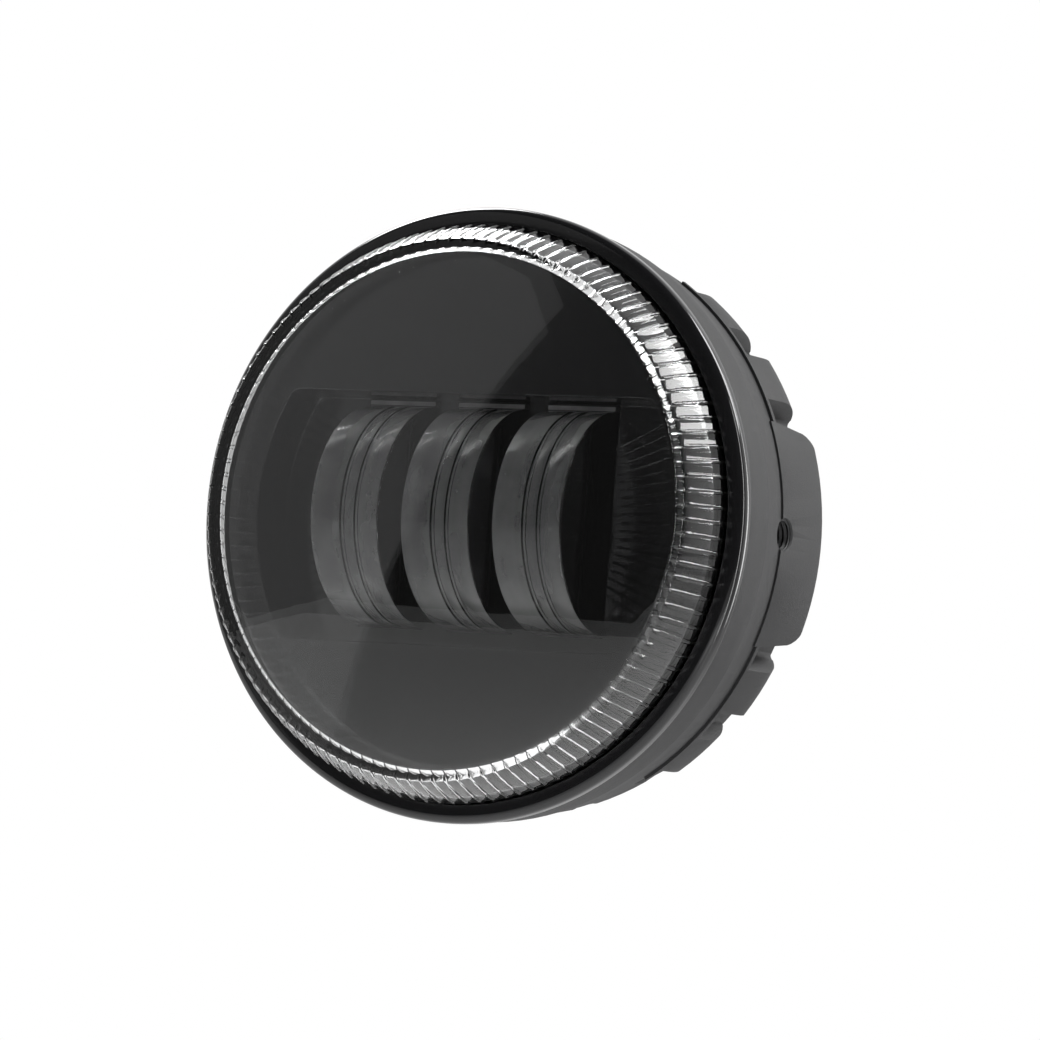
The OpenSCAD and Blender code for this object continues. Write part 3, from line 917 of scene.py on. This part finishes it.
@dataclass
class FrontMask:
    """Gloss black mask with a sunken pocket, windows for the bars and fine radial flutes."""

    shop: Workshop
    outer_r: float = 50.1
    front: float = 9.1
    wall: float = 1.4
    skirt_back: float = 26.9
    pocket_r: float = 43.8
    top: float = 22.0
    bottom: float = 24.6
    floor: float = 18.1
    pitch: float = 19.05
    window_w: float = 15.0
    window_up: float = 21.6
    window_down: float = 21.5
    flute_step: float = 3.0
    flute_in: float = 28.0
    flute_high: float = 0.42
    flute_half: float = 0.34
    corner_power: int = 70
    divisions: int = 720
    middle_rings: tuple[float, float] = (18.0, 8.0)

    def reach(self, angle: float, grow: float = 0.0) -> float:
        """Returns the pocket's radius at an angle, with softly rounded corners."""
        power = self.corner_power
        height = math.sin(angle)
        flat = (self.top + grow) if height > 0 else (self.bottom + grow)
        return ((self.pocket_r + grow) ** -power
                + (abs(height) / flat) ** power) ** (-1 / power)

    def build(self) -> None:
        """Builds the mask and its flutes."""
        at = self.shop.axis.at
        angles = circle_angles(self.divisions)
        s, f, w = self.front, self.floor, self.wall

        def ring(depth: float, grow: float | None = None, radius: float = 0.0) -> list[Point]:
            """Returns one row, on the pocket's outline or on a plain circle."""
            return [at(radius if grow is None else self.reach(a, grow), depth, a)
                    for a in angles]

        rows = [ring(self.skirt_back, None, self.outer_r), ring(s + 0.3, None, self.outer_r),
                ring(s + 0.09, None, self.outer_r - 0.09), ring(s, None, self.outer_r - 0.3)]
        rows += [ring(s, None, self.outer_r - 2), ring(s, 0.6)]
        rows += [ring(depth, grow) for grow, depth in
                 rounded([(0.6, s, 0), (0, s, 0.55), (-0.25, f, 0.5), (-1.2, f, 0)], 5)]
        rows += [ring(f, None, r) for r in self.middle_rings] + [[at(0, f, 0)]]
        behind = [[at(0, f + w, 0)]]
        behind += [ring(f + w, None, r) for r in reversed(self.middle_rings)]
        behind += [ring(f + w, w - 0.5), ring(f + w - 0.5, w), ring(s + w, w),
                   ring(s + w, None, self.outer_r - w),
                   ring(self.skirt_back, None, self.outer_r - w)]
        verts: list = []
        faces: list = []
        skin(verts, faces, rows)
        skin(verts, faces, behind + [rows[0]])
        piece = make("mask_gloss", verts, faces, 0.001 * MM)
        for i in (-1, 0, 1):
            solid: tuple[list, list] = ([], [])
            x = i * self.pitch
            block(*solid, self.shop.axis.flat(x - self.window_w / 2, f - 2, -self.window_down),
                  self.shop.axis.flat(x + self.window_w / 2, f + 4, self.window_up), 0.4 * MM)
            cut(piece, make("window_cutter", *solid))
        self.shop.deliver(piece, "mask_black", "front_mask", degrees=30)
        self.flutes()

    def flutes(self) -> None:
        """Repeats one fine ridge along both ends of the pocket floor."""
        at = self.shop.axis.flat
        start, end = self.flute_in, self.pocket_r - 0.4
        verts: list = []
        faces: list = []
        rows = []
        for r, share in ((start, 0.0), (start + 0.7, 0.8), (start + 2, 1), (end, 1)):
            if share == 0:
                rows.append([at(r, self.floor + 0.1, 0)])
                continue
            rows.append([at(r, self.floor - up * share * self.flute_high,
                            side * share * self.flute_half)
                         for side, up in ((-1, -0.2), (-0.62, 0.62), (0, 1), (0.62, 0.62),
                                          (1, -0.2))])
        skin(verts, faces, rows)
        faces.append(list(range(len(verts) - len(rows[-1]), len(verts))))
        count = int(math.degrees(math.asin(self.top / end)) / self.flute_step)
        step = math.radians(self.flute_step)
        for name, turn in (("right", 0.0), ("left", math.pi)):
            ridge = make(f"mask_flutes_{name}", verts, faces)
            self.shop.array.apply(ridge, 2 * count - 1, turn - step * (count - 1), step,
                                  self.shop.wardrobe.made["mask_black"])
            self.shop.deliver(ridge, "mask_black", degrees=60)


@dataclass
class LensBars:
    """Three clear half-disc bars, each with two grooves, a base flange and a small top tab."""

    shop: Workshop
    radius: float = 20.8
    height: float = -0.4
    width: float = 14.4
    pitch: float = 19.05
    front: float = -1.2
    flange_s: float = 19.7
    flange_back: float = 21.3
    flange_wide: float = 1.1
    flange_high: float = 2.5
    tab_s: float = 17.1
    tab_high: float = 0.9
    soft: float = 0.5

    def side(self, inset: float) -> list[tuple[float, float]]:
        """Returns the bar's side outline as (depth, height), drawn in by an inset."""
        r = self.radius - inset
        centre = self.front + self.radius
        arc = [(centre - r * math.sin(a), r * math.cos(a))
               for a in (math.pi * k / 72 for k in range(73))]
        return arc + [(self.flange_s, -r), (self.flange_s, 0), (self.flange_s, r)]

    def profile(self) -> list[tuple[float, float]]:
        """Returns the place across and the inset of each row over the bar's width."""
        half = self.width / 2
        steps = [(-half + self.soft * (1 - math.cos(t)), self.soft * (1 - math.sin(t)))
                 for t in (math.pi / 2 * k / 4 for k in range(5))]
        body = [(-0.9, 0.0), (-0.6, 0.22), (-0.15, 0.22), (0.15, 0.0), (2.1, 0.0), (2.35, 0.18),
                (2.8, 0.18), (3.05, 0.0)]
        return steps + body + [(-x, inset) for x, inset in reversed(steps)]

    def build(self) -> None:
        """Builds the three bars."""
        at = self.shop.axis.flat
        for name, i in (("left", -1), ("centre", 0), ("right", 1)):
            x0 = i * self.pitch
            verts: list = []
            faces: list = []
            rows = [[at(x0 + x, s, z + self.height) for s, z in self.side(inset)]
                    for x, inset in self.profile()]
            skin(verts, faces, rows)
            size = len(rows[0])
            faces.append(list(range(size)))
            faces.append(list(range(len(verts) - size, len(verts))))
            w, r, z = self.width / 2, self.radius, self.height
            wide, high = w + self.flange_wide, r + self.flange_high
            block(verts, faces, at(x0 - wide, self.flange_s, z - high),
                  at(x0 + wide, self.flange_back, z + high), 0.2 * MM)
            block(verts, faces, at(x0 - w, self.tab_s, z + r - 0.2),
                  at(x0 + w, self.flange_s + 0.2, z + r + self.tab_high), 0.15 * MM)
            piece = make(f"bar_optic_{name}", verts, faces)
            self.shop.deliver(piece, "bar_optic", f"lens_bar_{name}", degrees=40)
            piece.data.materials.append(self.shop.wardrobe.face)
            for face in piece.data.polygons:
                if abs(face.normal.x) < 0.5 and face.center.y < at(0, self.tab_s, 0)[1]:
                    face.material_index = 1


@dataclass
class Housing:
    """Cast housing: the CAD casting with rounded edges and real threads in its side holes."""

    shop: Workshop
    soft: float = 0.5
    hole_s: float = 30.5
    hole_r: float = 2.5
    hole_out: float = 55.4
    hole_deep: float = 12.0
    thread: float = 1.0
    thread_high: float = 0.42
    thread_start: float = 0.6
    mouth_wider: float = 1.1
    steps: int = 10
    divisions: int = 40

    def build(self) -> None:
        """Rounds the casting's edges and cuts the two threaded side holes."""
        piece = merged_copy("housing", "housing_casting", joined=True)
        for side in (1, -1):
            cut(piece, self.thread_cutter(side), touching=True)
        soften(piece, self.soft)
        self.shop.deliver(piece, "housing_black", "housing", degrees=40)

    def thread_cutter(self, side: int) -> bpy.types.Object:
        """Returns the solid that a threaded side hole takes away, on one side."""
        y = self.shop.axis.edge_y + self.hole_s * MM
        out, steps, turns = self.hole_out, self.steps, self.divisions
        wide = self.hole_r + self.thread_high

        def ring(x: float, radii: Sequence[float]) -> list[Point]:
            """Returns one row round the hole's axis."""
            return [(side * x * MM, y + r * MM * math.cos(a), r * MM * math.sin(a))
                    for r, a in zip(radii, circle_angles(turns))]

        verts: list = []
        faces: list = []
        rows = []
        for k in range(int(self.hole_deep / self.thread * steps) + 1):
            x = out - self.hole_deep + k * self.thread / steps
            crests = [abs((k / steps + j / turns) % 1 - 0.5) * 2 for j in range(turns)]
            if out - x < self.thread_start:
                crests = [1.0] * turns
            rows.append(ring(x, [self.hole_r + self.thread_high * c for c in crests]))
        for x, r in ((out - 0.35, wide), (out + 0.5, self.hole_r + self.mouth_wider),
                     (out + 4, self.hole_r + self.mouth_wider)):
            rows.append(ring(x, [r] * turns))
        skin(verts, faces, rows)
        faces.append(list(range(turns)))
        faces.append(list(range(len(verts) - turns, len(verts))))
        return make("thread_cutter", verts, faces)


@dataclass
class RearFittings:
    """Rear cover, gland and vent: the CAD solids with their edges softened; new cap screws."""

    shop: Workshop
    soft: float = 0.22
    refined: tuple[tuple[str, str], ...] = (
        ("rear_cover", "housing_black"), ("rear_gasket", "black_rubber"),
        ("vent_plug", "black_plastic"), ("gland_body", "gland_nylon"),
        ("gland_seal", "black_rubber"), ("gland_nut", "gland_nylon"))
    screws: int = 6
    ring_r: float = 42.3
    head_r: float = 2.6
    head_t: float = 1.8
    shank_r: float = 1.45
    socket_r: float = 1.45
    socket_deep: float = 1.1
    shank: float = 11.7

    def refine(self, node: str, slot: str) -> None:
        """Replaces a CAD node by a copy with merged points and softly rounded edges."""
        piece = merged_copy(node, f"{node}_soft")
        soften(piece, self.soft)
        self.shop.deliver(piece, slot, node, degrees=34)

    def cap_screws(self) -> None:
        """Builds one hexagon-socket screw and repeats it round the cover."""
        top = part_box("rear_cover_screws")[1].y
        count = 48
        verts: list = []
        faces: list = []

        def hexagon(angle: float) -> float:
            """Returns the socket's radius at an angle."""
            return self.socket_r * math.cos(math.pi / 6) / math.cos(
                (angle % (math.pi / 3)) - math.pi / 6)

        def ring(radius: Callable[[float], float], back: float) -> list[Point]:
            """Returns a row round the screw, back from the top of its head."""
            return [(self.ring_r * MM + radius(a) * MM * math.cos(a), top - back * MM,
                     radius(a) * MM * math.sin(a)) for a in circle_angles(count)]

        turned = rounded([(self.head_r - 0.9, 0.0, 0), (self.head_r, 0.0, 0.45),
                          (self.head_r, self.head_t, 0.1), (self.shank_r, self.head_t, 0),
                          (self.shank_r, self.shank - 0.4, 0), (self.shank_r - 0.4,
                                                                self.shank, 0)], 4)
        rows = [[(self.ring_r * MM, top - self.socket_deep * MM, 0)],
                ring(hexagon, self.socket_deep), ring(hexagon, 0.12),
                ring(lambda a: hexagon(a) + 0.12, 0.0)]
        rows += [ring(lambda a, r=r: r, back) for r, back in turned]
        rows.append([(self.ring_r * MM, top - self.shank * MM, 0)])
        skin(verts, faces, rows)
        piece = make("cover_cap_screws", verts, faces)
        self.shop.array.apply(piece, self.screws, math.radians(30),
                              2 * math.pi / self.screws,
                              self.shop.wardrobe.made["screw_black"])
        self.shop.deliver(piece, "screw_black", "rear_cover_screws", degrees=34)

    def build(self) -> None:
        """Builds the rear pieces."""
        for node, slot in self.refined:
            self.refine(node, slot)
        self.cap_screws()


# ------------------------------------------------------------------ studio


class Place(Enum):
    """Where a light stands round the lamp: (azimuth, elevation) in degrees, az 0 in front."""

    LEFT_WALL = (-63, -4)
    KEY = (112, 44)
    RIGHT_FRONT = (62, 4)
    RIGHT_EDGE = (145, 10)
    OVERHEAD = (-112, 52)
    LOW_FILL = (35, -30)


@dataclass(frozen=True)
class SoftBox:
    """A rectangular studio light."""

    place: Place
    distance: float
    width: float
    height: float
    glow: float
    roll: float = 0.0

    def build(self, target: Vector) -> None:
        """Sets the light up, aimed at the lamp."""
        az, el = (math.radians(v) for v in self.place.value)
        way = Vector((math.sin(az) * math.cos(el), -math.cos(az) * math.cos(el), math.sin(el)))
        lamp = bpy.data.lights.new(self.place.name.lower(), "AREA")
        lamp.shape = "RECTANGLE"
        lamp.size = self.width
        lamp.size_y = self.height
        lamp.energy = self.glow * math.pi * self.width * self.height
        stand = bpy.data.objects.new(lamp.name, lamp)
        stand.location = target + way * self.distance
        turn = (-way).to_track_quat("-Z", "Y") @ Quaternion((0, 0, 1), math.radians(self.roll))
        stand.rotation_euler = turn.to_euler()
        bpy.context.scene.collection.objects.link(stand)


@dataclass
class Studio:
    """Camera, soft lights, white surroundings and a pale floor well below the lamp."""

    azimuth: float = 29.91
    elevation: float = -3.70
    roll: float = -4.4
    distance: float = 1.1327
    lens: float = 214.6
    aim_right: float = 15.76 * MM
    aim_up: float = -2.28 * MM
    target_s: float = -2.5
    floor_drop: float = 0.42
    surround: float = 0.045
    backdrop: float = 0.85
    lights: tuple[SoftBox, ...] = (
        SoftBox(Place.LEFT_WALL, 1.2, 1.1, 3.0, 0.24, -34),
        SoftBox(Place.KEY, 0.9, 0.45, 0.5, 9),
        SoftBox(Place.RIGHT_FRONT, 1.0, 0.09, 1.2, 9),
        SoftBox(Place.RIGHT_EDGE, 0.9, 0.1, 0.9, 5),
        SoftBox(Place.OVERHEAD, 0.9, 0.4, 0.4, 15),
        SoftBox(Place.LOW_FILL, 1.2, 0.8, 0.6, 0.8),
    )

    def camera(self, edge_y: float) -> None:
        """Places the camera from its direction, distance, roll and aim."""
        az, el, roll = (math.radians(v) for v in (self.azimuth, self.elevation, self.roll))
        target = Vector((0, edge_y + self.target_s * MM, 0))
        ahead = Vector((-math.sin(az) * math.cos(el), math.cos(az) * math.cos(el),
                        -math.sin(el)))
        right = Vector((math.cos(az), math.sin(az), 0))
        up = right.cross(ahead)
        eye = target - ahead * self.distance
        side = right * math.cos(roll) - up * math.sin(roll)
        head = right * math.sin(roll) + up * math.cos(roll)
        look = (ahead * self.distance + side * self.aim_right + head * self.aim_up).normalized()
        side = look.cross(head).normalized()
        head = side.cross(look)
        data = bpy.data.cameras.new("camera")
        data.lens = self.lens
        data.sensor_width = 36.0
        data.clip_start = 0.05
        data.clip_end = 50.0
        eyepiece = bpy.data.objects.new("camera", data)
        turn = [[side[i], head[i], -look[i], eye[i]] for i in range(3)] + [[0, 0, 0, 1]]
        eyepiece.matrix_world = Matrix(turn)
        bpy.context.scene.collection.objects.link(eyepiece)
        bpy.context.scene.camera = eyepiece

    def world(self) -> None:
        """Makes the surroundings: white to look at, soft grey as a light."""
        world = bpy.data.worlds.new("studio")
        bpy.context.scene.world = world
        world.use_nodes = True
        world.node_tree.nodes.clear()
        graph = Graph(world.node_tree)
        seen = graph.add("ShaderNodeLightPath", output="Is Camera Ray")
        way = graph.add("ShaderNodeTexCoord", output="Generated")
        depth = graph.add("ShaderNodeSeparateXYZ", None, {0: way}, "Y")
        lit = depth.between(-0.3, 0.25) * (self.backdrop - self.surround) + self.surround
        strength = seen * (1 - lit) + lit
        back = graph.add("ShaderNodeBackground", None, {"Color": (1, 1, 1, 1),
                                                        "Strength": strength})
        graph.node("ShaderNodeOutputWorld", None, {"Surface": back})

    def floor(self, low: float) -> None:
        """Lays a pale floor under the lamp."""
        shader = Shader("studio_floor")
        cloud = shader.noise(0.2, 3)
        paint = shader.finish({
            "Base Color": shader.blend(cloud, (0.86, 0.86, 0.86), (0.9, 0.9, 0.9)),
            "Roughness": cloud * 0.1 + 0.6})
        z = low - self.floor_drop
        mesh = bpy.data.meshes.new("studio_floor")
        mesh.from_pydata([(-3, -3, z), (3, -3, z), (3, 3, z), (-3, 3, z)], [], [(0, 1, 2, 3)])
        mesh.materials.append(paint)
        piece = bpy.data.objects.new("studio_floor", mesh)
        bpy.context.scene.collection.objects.link(piece)

    def build(self, edge_y: float, low: float) -> None:
        """Sets up the studio.

        Args:
            edge_y: Y of the lens's front edge.
            low: Height of the lamp's lowest point.
        """
        self.camera(edge_y)
        self.world()
        self.floor(low)
        for light in self.lights:
            light.build(Vector((0, 0, 0)))
        bpy.context.scene.view_settings.view_transform = "Standard"


def main() -> None:
    """Builds the lamp round its CAD frame."""
    logging.basicConfig(level=logging.INFO, format="%(message)s")
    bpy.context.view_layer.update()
    lens_low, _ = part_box("outer_lens")
    axis = Axis(lens_low.y + OuterLens.dome * MM)
    wardrobe = Wardrobe(frame["record"])
    for name, node in frame["nodes"].items():
        wardrobe.dress(node, wardrobe.slots[name])
    shop = Workshop(axis, wardrobe, RadialArray())
    for part in (OuterLens, RimRing, FrontMask, LensBars, Housing, RearFittings):
        part(shop).build()
    Studio().build(axis.edge_y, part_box("rim_ring")[0].z)


if __name__ == "__main__":
    main()
